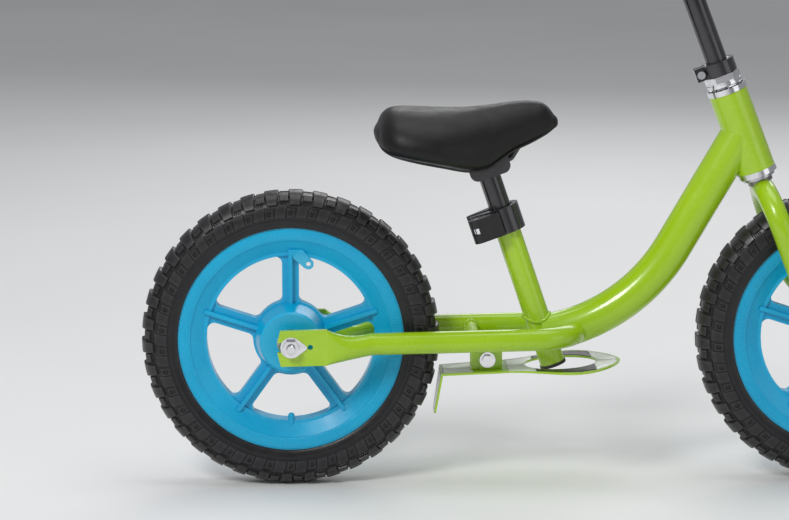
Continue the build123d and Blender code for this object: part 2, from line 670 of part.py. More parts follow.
# ---- Handlebar ----
def make_handlebar():
    centre = at(STEER, 0, 0, BAR_CENTRE)
    cross = crossways(STEER, 0, BAR_CENTRE)
    halves = {"bar_clamp_lower": -1, "bar_clamp_cap": 1}
    for name, side in halves.items():
        with BuildPart() as half:
            with BuildSketch(cross):
                Circle(CLAMP_RADIUS)
                Rectangle(2 * CLAMP_SCREW_AHEAD + 9, 16)
                Circle(STAY_RADIUS, mode=Mode.SUBTRACT)
                with Locations((0, -side * (30 - CLAMP_GAP / 2))):
                    Rectangle(60, 60, mode=Mode.SUBTRACT)
            extrude(amount=CLAMP_HALF_WIDTH, both=True)
            with BuildSketch(STEER.offset(BAR_CENTRE - 20)):
                with GridLocations(2 * CLAMP_SCREW_AHEAD, 2 * CLAMP_SCREW_SIDE, 2, 2):
                    Circle(CLAMP_SCREW_RADIUS)
            extrude(amount=40, mode=Mode.SUBTRACT)
        save(half.part, name)
    with BuildPart() as screws:
        with BuildSketch(STEER.offset(BAR_CENTRE - 8)):
            with GridLocations(2 * CLAMP_SCREW_AHEAD, 2 * CLAMP_SCREW_SIDE, 2, 2):
                Circle(CLAMP_SCREW_RADIUS)
        extrude(amount=16)
        with BuildSketch(STEER.offset(BAR_CENTRE + 8)):
            with GridLocations(2 * CLAMP_SCREW_AHEAD, 2 * CLAMP_SCREW_SIDE, 2, 2):
                Circle(4.2)
                RegularPolygon(2, 6, mode=Mode.SUBTRACT)
        extrude(amount=5)
    save(screws.part, "bar_clamp_screws")

    with BuildPart() as post:
        add(turned(STEER, ring(STAY_RADIUS - 2, STAY_RADIUS, POST_LOW, BAR_CENTRE)))
        with BuildSketch(cross):
            Circle(CLAMP_RADIUS)
        extrude(amount=40, both=True, mode=Mode.SUBTRACT)
    save(post.part, "handlebar_post")

    right_half = [(-38, -200, 42), (-8, -88, 38), (0, -42, 0)]
    left_half = [(x, -y, z) for x, y, z in reversed(right_half)]
    points = [centre + Vector(*offset) for offset in right_half + left_half]
    with BuildLine() as path:
        FilletPolyline(*points, radius=[40] * 4)
    save(swept_tube(path.wire(), STAY_RADIUS, TUBE_WALL), "handlebar")
    outward = (points[-1] - points[-2]).normalized()
    end = Plane(origin=points[-1], z_dir=outward)
    grip = [
        (0, 0), (STAY_RADIUS, 0), (STAY_RADIUS, -GRIP_LENGTH), (19, -GRIP_LENGTH),
        (19, 4 - GRIP_LENGTH), (15.5, 7 - GRIP_LENGTH), (14.5, -60), (15.5, -10), (17, -4),
        (17, 3), (0, 3),
    ]
    left_grip = turned(end, grip)
    save(left_grip, "grip_left")
    save(mirror(left_grip, about=Plane.XZ), "grip_right")


# ---- Seat post clamp ----
COLLAR_LOW = 110.0
COLLAR_HIGH = 136.0
COLLAR_RADIUS = 18.5
LUG_BEHIND = 27.0
LUG_RADIUS = 9.0
LEVER_SIDE = 19.5  # the lever's hinge pin, to the bike's right of the tube's axis
LEVER_ROOT_RADIUS = 8.4
LEVER_TIP = (-6.0, -23.4)
SKEWER_RADIUS = 2.5
PIN_RADIUS = 2.5
NUT_RADIUS = 7.5


def make_seat_clamp():
    """A split collar drawn together by a lever that swings on an upright pin."""
    middle = (COLLAR_LOW + COLLAR_HIGH) / 2
    cross = crossways(SEAT, -LUG_BEHIND, middle)
    with BuildPart() as collar:
        with BuildSketch(SEAT.offset(COLLAR_LOW)):
            with BuildSketch(mode=Mode.PRIVATE) as outer:
                Circle(COLLAR_RADIUS)
                with Locations((-LUG_BEHIND, 0)):
                    Circle(LUG_RADIUS)
            add(make_hull(outer.edges(), mode=Mode.PRIVATE))
            Circle(SEAT_TUBE_RADIUS, mode=Mode.SUBTRACT)
            with Locations((-LUG_BEHIND, 0)):
                Rectangle(32, 7, mode=Mode.SUBTRACT)
        extrude(amount=COLLAR_HIGH - COLLAR_LOW)
        with BuildSketch(cross):
            Circle(SKEWER_RADIUS)
        extrude(amount=20, both=True, mode=Mode.SUBTRACT)
        # A flat seat for the nut on the left-hand wall.
        with BuildSketch(cross.offset(LUG_RADIUS)):
            Circle(NUT_RADIUS + 0.5)
        extrude(amount=10, mode=Mode.SUBTRACT)
    save(collar.part, "seat_clamp_collar")

    hinge = (-LUG_BEHIND, -LEVER_SIDE)
    with BuildPart() as lever:
        with BuildSketch(SEAT.offset(COLLAR_LOW + 1)):
            with BuildSketch(mode=Mode.PRIVATE) as ends:
                with Locations(hinge):
                    Circle(LEVER_ROOT_RADIUS)
                with Locations(LEVER_TIP):
                    Circle(3)
            add(make_hull(ends.edges(), mode=Mode.PRIVATE))
            Circle(COLLAR_RADIUS + 0.8, mode=Mode.SUBTRACT)
            with Locations(hinge):
                Circle(PIN_RADIUS, mode=Mode.SUBTRACT)
        extrude(amount=COLLAR_HIGH - COLLAR_LOW - 2)
        # A notch for the skewer's eye, open through the skewer's whole swing.
        with BuildSketch(SEAT.offset(middle - 3.5)):
            with Locations(hinge):
                Circle(6)
            with BuildLine():
                swing = CenterArc(hinge, LEVER_ROOT_RADIUS + 1.5, 62, 206)
                Line(swing @ 1, hinge)
                Line(hinge, swing @ 0)
            make_face()
        extrude(amount=7, mode=Mode.SUBTRACT)
    save(lever.part, "seat_clamp_lever")
    with BuildPart() as pin:
        with BuildSketch(SEAT.offset(COLLAR_LOW + 1)):
            with Locations(hinge):
                Circle(PIN_RADIUS)
        extrude(amount=COLLAR_HIGH - COLLAR_LOW - 2)
    save(pin.part, "seat_clamp_pin")
    with BuildPart() as skewer:
        with BuildSketch(SEAT.offset(middle - 2.8)):
            with Locations(hinge):
                Circle(5.2)
        extrude(amount=5.6)
        with BuildSketch(cross.offset(-LEVER_SIDE)):
            Circle(SKEWER_RADIUS)
        extrude(amount=LEVER_SIDE + 17)
        with BuildSketch(SEAT.offset(middle - 3)):
            with Locations(hinge):
                Circle(PIN_RADIUS + SLIDE_CLEARANCE)
        extrude(amount=6, mode=Mode.SUBTRACT)
    save(skewer.part, "seat_clamp_skewer")
    nut = turned(cross, ring(SKEWER_RADIUS, NUT_RADIUS, LUG_RADIUS, LUG_RADIUS + 6))
    save(nut, "seat_clamp_nut")


# ---- Seat post and saddle ----
SEAT_POST_LOW = 20.0
SEAT_POST_WALL = 2.0
TILT_HEIGHT = 180.0  # the saddle's tilt axis, up the seat tube's axis
HEAD_BARREL_RADIUS = 9.5
HEAD_BARREL_HALF = 14.5
TILT_BOLT_RADIUS = 4.0
CLIP_INNER = 14.8
RAIL_SIDE = 20.5
RAIL_RADIUS = 3.5
CLIP_OUTER = 26.5
RAIL_Z = 333.0
BASE_LOW = 346.0
BASE_HIGH = 350.0
SKIRT = 5.0

# Sections of the saddle from tail to nose: ahead of the rear axle, half width, bottom, top.
SADDLE_SECTIONS = [
    (88, 34, 347, 368), (98, 55, 337, 381), (125, 65, 332, 383.5), (150, 62, 329, 382),
    (175, 51, 326, 382), (200, 40, 330, 384.5), (225, 30, 341, 388.5), (250, 23, 352, 388),
    (264, 14, 359, 377),
]


def make_seat_post():
    post = turned(SEAT, ring(STAY_RADIUS - SEAT_POST_WALL, STAY_RADIUS, SEAT_POST_LOW, TILT_HEIGHT))
    cross = crossways(SEAT, 0, TILT_HEIGHT)
    with BuildPart() as tube:
        add(post)
        with BuildSketch(cross):
            Circle(HEAD_BARREL_RADIUS)
        extrude(amount=20, both=True, mode=Mode.SUBTRACT)
        # Cuts off what stands above the barrel's middle on each side.
        with BuildSketch(SEAT.offset(TILT_HEIGHT - 3)):
            Circle(STAY_RADIUS + 1)
        extrude(amount=10, mode=Mode.SUBTRACT)
    save(tube.part, "seat_post")
    bore = TILT_BOLT_RADIUS + SLIDE_CLEARANCE
    barrel = turned(cross, ring(bore, HEAD_BARREL_RADIUS, -HEAD_BARREL_HALF, HEAD_BARREL_HALF))
    save(barrel, "seat_post_head")


def saddle_solid(inset, floor, ceiling):
    """A loft of the saddle's sections, drawn in by an inset and cut to a height band."""
    with BuildPart() as body:
        for ahead, half_width, bottom, top in SADDLE_SECTIONS:
            width = 2 * (half_width - inset)
            height = top - bottom
            station = Plane(
                origin=(REAR_X + ahead, 0, (top + bottom) / 2), x_dir=(0, 1, 0), z_dir=(1, 0, 0)
            )
            with BuildSketch(station):
                RectangleRounded(width, height, min(width, height) * 0.42)
        loft()
        if floor or ceiling:
            with BuildSketch(Plane.XY.offset(floor)):
                with Locations((REAR_X + 170, 0)):
                    Rectangle(160 - 2 * inset, 160)
            extrude(amount=ceiling - floor, mode=Mode.INTERSECT)
    return body.part


def make_saddle():
    base = saddle_solid(SKIRT + 0.3, BASE_LOW, BASE_HIGH)
    save(base, "saddle_base")
    with BuildPart() as cover:
        add(saddle_solid(0, 0, 0))
        with BuildSketch(Plane.XY.offset(BASE_HIGH + 0.2)):
            with Locations((REAR_X + 166, 0)):
                RectangleRounded(130, 60, 12)
        extrude(amount=-60, mode=Mode.SUBTRACT)
        add(saddle_solid(SKIRT, 300, BASE_HIGH + 0.2), mode=Mode.SUBTRACT)
        add(swept_tube(rail_path(), RAIL_RADIUS + 0.4, 0), mode=Mode.SUBTRACT)
        mirror(about=Plane.XZ, mode=Mode.INTERSECT)
    save(cover.part, "saddle_cover")
    make_rails(base)
    make_clip()


def rail_path():
    with BuildLine() as path:
        FilletPolyline(
            (REAR_X + 230, 14, BASE_LOW + 3), (REAR_X + 219, RAIL_SIDE, RAIL_Z),
            (REAR_X + 172, RAIL_SIDE, RAIL_Z), (REAR_X + 124, 34, RAIL_Z + 5),
            (REAR_X + 110, 36, BASE_LOW + 3), radius=[6, 25, 7],
        )
    return path.wire()


def make_rails(base):
    """A pair of bent steel rails whose ends plug into the base."""
    with BuildPart() as pair:
        add(swept_tube(rail_path(), RAIL_RADIUS, 0))
        mirror(about=Plane.XZ)
        add(base, mode=Mode.SUBTRACT)
        with BuildSketch(Plane.XY.offset(BASE_LOW + 2)):
            with Locations((REAR_X + 180, 0)):
                Rectangle(200, 120)
        extrude(amount=20, mode=Mode.SUBTRACT)
    save(pair.part, "saddle_rails")


def make_clip():
    """Clamp plates either side of the rails, held by one cross bolt."""
    cross = crossways(SEAT, 0, TILT_HEIGHT)
    spans = ((CLIP_INNER, RAIL_SIDE - 0.3), (RAIL_SIDE + 0.3, CLIP_OUTER))
    with BuildPart() as plates:
        for near, far in spans:
            with BuildSketch(cross.offset(near)):
                with Locations((-2.4, 3.1)):
                    RectangleRounded(41.6, 25, 8)
                Circle(TILT_BOLT_RADIUS, mode=Mode.SUBTRACT)
            extrude(amount=far - near)
        add(swept_tube(rail_path(), RAIL_RADIUS, 0), mode=Mode.SUBTRACT)
        mirror(about=Plane.XZ)
    save(plates.part, "saddle_clip_plates")
    with BuildPart() as bolt:
        add(turned(cross, ring(0, TILT_BOLT_RADIUS, -CLIP_OUTER, CLIP_OUTER + 7)))
        add(hexagon(cross, 12.0, 0, -CLIP_OUTER - 4.5, -CLIP_OUTER))
    save(bolt.part, "saddle_clip_bolt")
    nut = hexagon(cross, 12.0, TILT_BOLT_RADIUS, CLIP_OUTER, CLIP_OUTER + 5.5)
    save(nut, "saddle_clip_nut")


# ---- Everything ----
rear_hub = make_wheel_set("rear", REAR_X, DROPOUT_INNER, DROPOUT_OUTER)
make_tab_washers(rear_hub, "rear", DROPOUT_OUTER, 180)
make_frame_tubes()
make_footplate()
blade_direction = make_fork()
front_hub = make_wheel_set("front", FRONT_X, FORK_PLATE_INNER, FORK_PLATE_OUTER)
blade_angle = degrees(atan2(blade_direction.Z, -blade_direction.X))
make_tab_washers(front_hub, "front", FORK_PLATE_OUTER, blade_angle)
make_headset()
make_handlebar()
make_seat_clamp()
make_seat_post()
make_saddle()
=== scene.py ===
"""The looks of the balance bike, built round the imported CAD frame.

Metres, in the frame's own axes: +X forwards, +Y to the bike's left, +Z up, with the
origin on the ground midway between the axles.
"""

import json
from math import atan2, cos, degrees, hypot, pi, radians, sin

import bmesh
import bpy
from mathutils import Matrix, Vector


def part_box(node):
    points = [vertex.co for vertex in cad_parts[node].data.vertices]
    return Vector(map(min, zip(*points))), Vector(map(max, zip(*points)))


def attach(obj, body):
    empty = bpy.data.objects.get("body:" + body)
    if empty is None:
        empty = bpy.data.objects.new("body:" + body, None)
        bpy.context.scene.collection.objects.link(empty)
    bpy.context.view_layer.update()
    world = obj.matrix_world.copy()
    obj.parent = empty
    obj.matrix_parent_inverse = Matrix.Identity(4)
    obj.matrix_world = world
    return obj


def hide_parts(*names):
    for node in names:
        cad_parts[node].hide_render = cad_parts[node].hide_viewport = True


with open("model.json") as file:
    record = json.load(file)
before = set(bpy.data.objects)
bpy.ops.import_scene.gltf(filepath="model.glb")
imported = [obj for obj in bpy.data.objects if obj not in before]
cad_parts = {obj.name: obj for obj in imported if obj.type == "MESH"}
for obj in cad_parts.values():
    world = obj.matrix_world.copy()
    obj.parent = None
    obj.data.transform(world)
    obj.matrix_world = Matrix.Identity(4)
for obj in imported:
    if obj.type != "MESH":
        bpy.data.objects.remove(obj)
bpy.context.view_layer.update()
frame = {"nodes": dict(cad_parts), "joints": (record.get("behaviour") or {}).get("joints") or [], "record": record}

MM = 0.001


# ---- Places, read from the frame ----
def middle(node):
    low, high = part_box(node)
    return (low + high) / 2


def placed(origin, up, ahead=(1, 0, 0)):
    """A matrix with Z along up, X as near to ahead as it can be, and Y across them."""
    z = Vector(up).normalized()
    y = z.cross(Vector(ahead)).normalized()
    x = y.cross(z)
    turn = Matrix((x, y, z)).transposed().to_4x4()
    return Matrix.Translation(origin) @ turn


JOINTS = {joint["name"]: joint for joint in frame["joints"]}
REAR_AXLE = middle("rear_axle")
FRONT_AXLE = middle("front_axle")
AXLES = {"rear": REAR_AXLE, "front": FRONT_AXLE}
RIGHT = -1
LEFT = 1

# The saddle tilts about a point 180 mm up the seat tube's axis.
SEAT_UP = Vector(JOINTS["seat_post_height"]["axis"])
SEAT = placed(Vector(JOINTS["saddle_tilt"]["pos_m"]) - SEAT_UP * 0.180, SEAT_UP)
# The steering axis, from its point nearest to the front axle.
STEER_UP = Vector(JOINTS["steering"]["axis"])
STEER_POINT = Vector(JOINTS["steering"]["pos_m"])
STEER = placed(STEER_POINT + STEER_UP * (FRONT_AXLE - STEER_POINT).dot(STEER_UP), STEER_UP)


# ---- Node helpers ----
class Paint:
    """A material's node tree, with one Principled shader at its end."""

    def __init__(self, name, **sockets):
        self.material = bpy.data.materials.new(name)
        self.material.use_nodes = True
        self.tree = self.material.node_tree
        self.shader = self.tree.nodes["Principled BSDF"]
        self.place = self.add("TexCoord").outputs["Object"]
        for socket, value in sockets.items():
            self.shader.inputs[socket.replace("_", " ")].default_value = value

    def add(self, kind, inputs=None, **settings):
        node = self.tree.nodes.new("ShaderNode" + kind)
        for name, value in settings.items():
            setattr(node, name, value)
        for key, value in (inputs or {}).items():
            self.set(node.inputs[key], value)
        return node

    def set(self, socket, value):
        if isinstance(value, bpy.types.NodeSocket):
            self.tree.links.new(value, socket)
        else:
            socket.default_value = value

    def use(self, socket, value):
        self.set(self.shader.inputs[socket], value)

    def product(self, first, second):
        return self.add("Math", {0: first, 1: second}, operation="MULTIPLY").outputs[0]

    def stretched(self, x, y, z):
        """The place, scaled differently along each axis."""
        node = self.add("Mapping", {"Vector": self.place, "Scale": (x, y, z)})
        return node.outputs[0]

    def noise(self, scale, detail=3.0, place=None, roughness=0.55):
        inputs = {"Vector": place or self.place, "Scale": scale, "Detail": detail,
                  "Roughness": roughness}
        return self.add("TexNoise", inputs).outputs["Fac"]

    def cells(self, scale, feature="F1", place=None):
        node = self.add("TexVoronoi", {"Vector": place or self.place, "Scale": scale},
                        feature=feature)
        return node.outputs["Distance"]

    def spread(self, value, low, high, to_low=0.0, to_high=1.0):
        """A value's stretch from low to high, mapped on to another one."""
        inputs = {0: value, 1: low, 2: high, 3: to_low, 4: to_high}
        return self.add("MapRange", inputs).outputs[0]

    def mix(self, share, first, second):
        node = self.add("Mix", {"Factor": share}, data_type="RGBA")
        self.set(node.inputs[6], first)
        self.set(node.inputs[7], second)
        return node.outputs[2]

    def bump(self, height, distance, strength=1.0, under=None):
        inputs = {"Height": height, "Distance": distance, "Strength": strength}
        if under:
            inputs["Normal"] = under
        return self.add("Bump", inputs).outputs[0]


def rgb(red, green, blue):
    return (red, green, blue, 1.0)


# ---- Materials ----
def coat_of_paint(name, colour, deep, pale, roughness=0.24, peel=0.00005):
    """Gloss powder coat: slight shade changes, orange peel, smudges, fine specks and a painted highlight along
    sharp edges.
    """
    paint = Paint(name, Coat_Weight=0.55, Coat_Roughness=0.07, Specular_IOR_Level=0.5)
    drift = paint.noise(9, 2)
    tone = paint.mix(paint.spread(drift, 0.35, 0.7), rgb(*deep), rgb(*colour))
    specks = paint.spread(paint.noise(1400, 1), 0.62, 0.78, 0.0, 0.5)
    tone = paint.mix(specks, tone, rgb(*pale))
    # Painted highlight: paler paint along sharp edges, broken up with noise.
    edge = paint.add("NewGeometry").outputs["Pointiness"]
    edge_wear_and_highlight = paint.product(paint.spread(edge, 0.53, 0.62), paint.noise(160, 3))
    tone = paint.mix(paint.product(edge_wear_and_highlight, 0.45), tone, rgb(*pale))
    paint.use("Base Color", tone)
    smudge = paint.noise(38, 5)
    paint.use("Roughness", paint.spread(smudge, 0.3, 0.75, roughness - 0.07, roughness + 0.13))
    skin = paint.bump(paint.noise(650, 2), peel, 0.5)
    paint.use("Normal", paint.bump(paint.noise(2600, 2), peel / 4, 0.4, skin))
    return paint.material


def frame_green():
    return coat_of_paint("lime_powder_coat", (0.380, 0.620, 0.002), (0.330, 0.560, 0.001),
                         (0.520, 0.760, 0.060), 0.27)


def gloss_black():
    return coat_of_paint("gloss_black_paint", (0.012, 0.011, 0.014), (0.007, 0.007, 0.009),
                         (0.050, 0.047, 0.056), 0.17, 0.00003)


def moulded_blue():
    """Glossy blue plastic with moulding flow, faint scuffs, a painted highlight on sharp edges and a matte grain.
    """
    paint = Paint("moulded_blue_plastic", Specular_IOR_Level=0.4, Coat_Weight=0.12,
                  Coat_Roughness=0.12)
    flow = paint.noise(14, 4, paint.stretched(1, 2.4, 1))
    tone = paint.mix(paint.spread(flow, 0.32, 0.72), rgb(0.0005, 0.365, 0.640),
                     rgb(0.001, 0.450, 0.740))
    scuffs = paint.noise(420, 6, paint.stretched(1, 0.15, 0.35))
    tone = paint.mix(paint.spread(scuffs, 0.64, 0.78, 0.0, 0.35), tone, rgb(0.130, 0.560, 0.740))
    # Painted highlight: a paler blue along sharp edges.
    edge = paint.add("NewGeometry").outputs["Pointiness"]
    tone = paint.mix(paint.spread(edge, 0.54, 0.64, 0.0, 0.35), tone, rgb(0.160, 0.600, 0.780))
    paint.use("Base Color", tone)
    paint.use("Roughness", paint.spread(paint.noise(60, 4), 0.3, 0.7, 0.24, 0.38))
    paint.use("Normal", paint.bump(paint.noise(1900, 3), 0.00004, 0.6))
    return paint.material


def tyre_foam():
    """Moulded black foam: a satin skin, pores, worn high spots and dust."""
    paint = Paint("tyre_foam", Specular_IOR_Level=0.45)
    mottle = paint.noise(55, 5)
    tone = paint.mix(paint.spread(mottle, 0.35, 0.7), rgb(0.0050, 0.0046, 0.0054),
                     rgb(0.0105, 0.0095, 0.0108))
    edge = paint.add("NewGeometry").outputs["Pointiness"]
    edge_wear_and_highlight = paint.product(paint.spread(edge, 0.50, 0.58), paint.noise(240, 4))
    tone = paint.mix(paint.product(edge_wear_and_highlight, 0.7), tone, rgb(0.085, 0.078, 0.082))
    dust = paint.spread(paint.noise(900, 5), 0.56, 0.80, 0.0, 0.35)
    tone = paint.mix(dust, tone, rgb(0.030, 0.027, 0.026))
    paint.use("Base Color", tone)
    paint.use("Roughness", paint.spread(paint.noise(130, 5), 0.3, 0.75, 0.27, 0.46))
    pores = paint.bump(paint.cells(1500), 0.00007, 0.5)
    paint.use("Normal", paint.bump(paint.noise(3800, 2), 0.00005, 0.6, pores))
    return paint.material


def black_vinyl():
    """Soft black vinyl with a pressed leather grain, painted shade in the grain's creases, and a slight bloom."""
    paint = Paint("black_vinyl", Specular_IOR_Level=0.32, Sheen_Weight=0.03, Sheen_Roughness=0.4)
    wobble = paint.add("TexNoise", {"Vector": paint.place, "Scale": 260.0}).outputs["Color"]
    small = paint.add("VectorMath", {0: wobble}, operation="SCALE")
    small.inputs["Scale"].default_value = 0.0022
    place = paint.add("VectorMath", {0: paint.place, 1: small.outputs[0]}).outputs[0]
    grain = paint.cells(620, "DISTANCE_TO_EDGE", place)
    creases = paint.spread(grain, 0.0, 0.16, 0.0, 1.0)
    bloom = paint.spread(paint.noise(16, 4), 0.35, 0.72)
    tone = paint.mix(bloom, rgb(0.0048, 0.0045, 0.0052), rgb(0.0090, 0.0083, 0.0092))
    # Painted shade: the grain's creases are darkened.
    tone = paint.mix(paint.spread(creases, 0.0, 1.0, 0.4, 0.0), tone, rgb(0.0035, 0.0033, 0.0036))
    paint.use("Base Color", tone)
    paint.use("Roughness", paint.spread(paint.noise(90, 4), 0.3, 0.7, 0.36, 0.50))
    hide = paint.bump(creases, 0.00009, 0.55)
    paint.use("Normal", paint.bump(paint.noise(2400, 3), 0.00004, 0.5, hide))
    return paint.material


def grip_rubber():
    paint = Paint("grip_rubber", Specular_IOR_Level=0.45)
    tone = paint.mix(paint.spread(paint.noise(70, 5), 0.35, 0.7), rgb(0.0090, 0.0090, 0.0095),
                     rgb(0.0190, 0.0185, 0.0190))
    worn = paint.spread(paint.noise(700, 4), 0.58, 0.8, 0.0, 0.4)
    paint.use("Base Color", paint.mix(worn, tone, rgb(0.045, 0.042, 0.040)))
    paint.use("Roughness", paint.spread(paint.noise(150, 4), 0.3, 0.7, 0.55, 0.74))
    paint.use("Normal", paint.bump(paint.noise(3000, 3), 0.00007, 0.7))
    return paint.material


def bare_metal(name, bright, dull, low, high, scratch_scale):
    """Plated or plain steel: cloudy shade, fine scratches and uneven gloss."""
    paint = Paint(name, Metallic=1.0)
    cloud = paint.noise(120, 4)
    tone = paint.mix(paint.spread(cloud, 0.3, 0.7), rgb(*dull), rgb(*bright))
    stain = paint.spread(paint.noise(520, 6), 0.63, 0.80, 0.0, 0.6)
    paint.use("Base Color", paint.mix(stain, tone, rgb(0.16, 0.14, 0.12)))
    paint.use("Roughness", paint.spread(paint.noise(340, 5), 0.25, 0.8, low, high))
    lines = paint.noise(scratch_scale, 3, paint.stretched(1, 0.06, 1))
    paint.use("Normal", paint.bump(lines, 0.00002, 0.4))
    return paint.material


def chrome_plate():
    return bare_metal("chrome_plate", (0.86, 0.86, 0.88), (0.70, 0.70, 0.73), 0.07, 0.24, 2400)


def plain_steel():
    return bare_metal("plain_steel", (0.36, 0.35, 0.35), (0.22, 0.215, 0.22), 0.28, 0.46, 1800)


def ground_steel():
    return bare_metal("ground_steel", (0.60, 0.60, 0.62), (0.46, 0.46, 0.48), 0.16, 0.30, 3000)


def black_moulding():
    """Hard black plastic with a fine spark-eroded grain."""
    paint = Paint("black_moulding", Specular_IOR_Level=0.5)
    tone = paint.mix(paint.spread(paint.noise(60, 4), 0.35, 0.7), rgb(0.0080, 0.0080, 0.0090),
                     rgb(0.0160, 0.0155, 0.0170))
    scuffs = paint.spread(paint.noise(500, 6, paint.stretched(0.3, 1, 1)), 0.63, 0.8, 0.0, 0.5)
    paint.use("Base Color", paint.mix(scuffs, tone, rgb(0.06, 0.058, 0.06)))
    paint.use("Roughness", paint.spread(paint.noise(200, 4), 0.3, 0.7, 0.30, 0.46))
    paint.use("Normal", paint.bump(paint.cells(1900), 0.00004, 0.5))
    return paint.material


def printed_film(name, colour, shade, roughness=0.34):
    """Printed vinyl film: nearly even ink with a fine dot texture and light scuffs."""
    paint = Paint(name, Coat_Weight=0.3, Coat_Roughness=0.15)
    tone = paint.mix(paint.spread(paint.noise(45, 4), 0.35, 0.7), rgb(*shade), rgb(*colour))
    marks = paint.spread(paint.noise(600, 6, paint.stretched(0.2, 1, 1)), 0.62, 0.8, 0.0, 0.3)
    paint.use("Base Color", paint.mix(marks, tone, rgb(0.34, 0.33, 0.32)))
    paint.use("Roughness", paint.spread(paint.noise(140, 4), 0.3, 0.7, roughness - 0.06,
                                        roughness + 0.08))
    paint.use("Normal", paint.bump(paint.noise(1500, 3), 0.00003, 0.5))
    return paint.material


GREEN = frame_green()
BLACK = gloss_black()
BLUE = moulded_blue()
FOAM = tyre_foam()
VINYL = black_vinyl()
GRIP = grip_rubber()
CHROME = chrome_plate()
STEEL = plain_steel()
GROUND = ground_steel()
MOULDING = black_moulding()
WHITE_FILM = printed_film("white_film", (0.86, 0.87, 0.86), (0.74, 0.75, 0.74))
DARK_FILM = printed_film("charcoal_film", (0.034, 0.030, 0.040), (0.022, 0.020, 0.027), 0.4)

FINISHES = {
    "frame_paint": GREEN, "footplate_paint": GREEN, "black_paint": BLACK, "dark_steel": STEEL,
    "chrome": CHROME, "bearing_steel": GROUND, "tyre_foam": FOAM, "wheel_plastic": BLUE,
    "black_plastic": MOULDING, "saddle_vinyl": VINYL, "grip_rubber": GRIP,
}


# ---- Mesh helpers ----
def piece(name, bm, material, body, crease=38):
    """Turns a finished bmesh into a named piece that rides on a body."""
    bmesh.ops.recalc_face_normals(bm, faces=bm.faces)
    mesh = bpy.data.meshes.new(name)
    bm.to_mesh(mesh)
    bm.free()
    mesh.shade_smooth()
    mesh.set_sharp_from_angle(angle=radians(crease))
    mesh.materials.append(material)
    made = bpy.data.objects.new(name, mesh)
    bpy.context.scene.collection.objects.link(made)
    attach(made, body)
    return made


def skin(bm, rows, close_rows=True, close_ends=False):
    """Quads between rows of points; each row has the same number of points."""
    made = [[bm.verts.new(point) for point in row] for row in rows]
    count = len(made[0])
    following = list(zip(made, made[1:]))
    if close_ends:
        following.append((made[-1], made[0]))
    for one, two in following:
        for i in range(count if close_rows else count - 1):
            j = (i + 1) % count
            bm.faces.new((one[i], one[j], two[j], two[i]))
    return made


def lathe(bm, place, profile, segments):
    """Turns a closed outline of (radius, height) points about a matrix's Z axis."""
    rows = []
    for k in range(segments):
        turn = 2 * pi * k / segments
        rows.append([place @ Vector((r * cos(turn), r * sin(turn), h)) for r, h in profile])
    return skin(bm, rows, close_ends=True)


def loop_tube(bm, centres, radius, sides=8):
    """A tube round a loop of points. radius is a number or a function of the distance."""
    along = 0.0
    rows = []
    side = None
    for i, centre in enumerate(centres):
        ahead = (centres[(i + 1) % len(centres)] - centres[i - 1]).normalized()
        if i:
            along += (centre - centres[i - 1]).length
        else:
            side = ahead.orthogonal()
        side = (side - ahead * side.dot(ahead)).normalized()
        over = ahead.cross(side)
        size = radius(along) if callable(radius) else radius
        row = []
        for k in range(sides):
            turn = 2 * pi * k / sides
            row.append(centre + side * (cos(turn) * size) + over * (sin(turn) * size))
        rows.append(row)
    return skin(bm, rows, close_ends=True)


# ---- Tyres ----
REPEATS = 38
PITCH = 360 / REPEATS
CARCASS_WIDTH = 21.7  # half width of the carcass under the knobs, mm
SHOULDER_RADIUS = 128.0  # where the tread ends and the sidewall starts
VALLEY_RADIUS = 146.9  # the crown between the knobs
ROUNDNESS = 2.45  # exponent of the tread's superellipse
BEAD_EDGE = (113.8, 18.9)  # radius and side at which the sidewall ends
WALL_CURVE = 1.8  # exponent of the sidewall's curve
TREAD_STEPS = 260
WALL_STEPS = 60
SIDE_LINES = ((124.4, 0.55), (120.6, 0.30))  # raised lines on the sidewall: radius, height
SIDE_LINE_FOOT = 0.75  # half width of a raised line at its foot
SIDE_LINE_TOP = 0.3  # and at its top
RIM_BED = ((113.5, 14.5), (104.0, 14.5), (104.0, 0.0), (104.0, -14.5), (113.5, -14.5))
KNOB_RADIUS = 138.0  # the radius at which a block's length is taken
KNOB_EASE = 0.42  # bevel of a block's edges
KNOB_DRAFT = 0.5  # how far a block's sides spread down to its foot
KNOB_FOOT = -0.6  # height of a block's foot, inside the carcass
RECESS_RIM = (0.30, 0.74)  # shares of the block at which its recess starts and ends
RECESS_FLOOR = (0.34, 0.70)


def tread_line():
    """Half of the tyre's outline, crown to rim, as (distance, radius, side) in mm."""
    points = []
    for i in range(TREAD_STEPS + 1):
        turn = pi / 2 * i / TREAD_STEPS
        side = CARCASS_WIDTH * sin(turn) ** (2 / ROUNDNESS)
        rise = (VALLEY_RADIUS - SHOULDER_RADIUS) * max(cos(turn), 0.0) ** (2 / ROUNDNESS)
        points.append((SHOULDER_RADIUS + rise, side))
    for i in range(1, WALL_STEPS + 1):
        share = i / WALL_STEPS
        radius = SHOULDER_RADIUS + (BEAD_EDGE[0] - SHOULDER_RADIUS) * share
        side = CARCASS_WIDTH + (BEAD_EDGE[1] - CARCASS_WIDTH) * share ** WALL_CURVE
        points.append((radius, side))
    line = [(0.0, *points[0])]
    for (r0, y0), (r1, y1) in zip(points, points[1:]):
        line.append((line[-1][0] + hypot(r1 - r0, y1 - y0), r1, y1))
    return line


TREAD = tread_line()


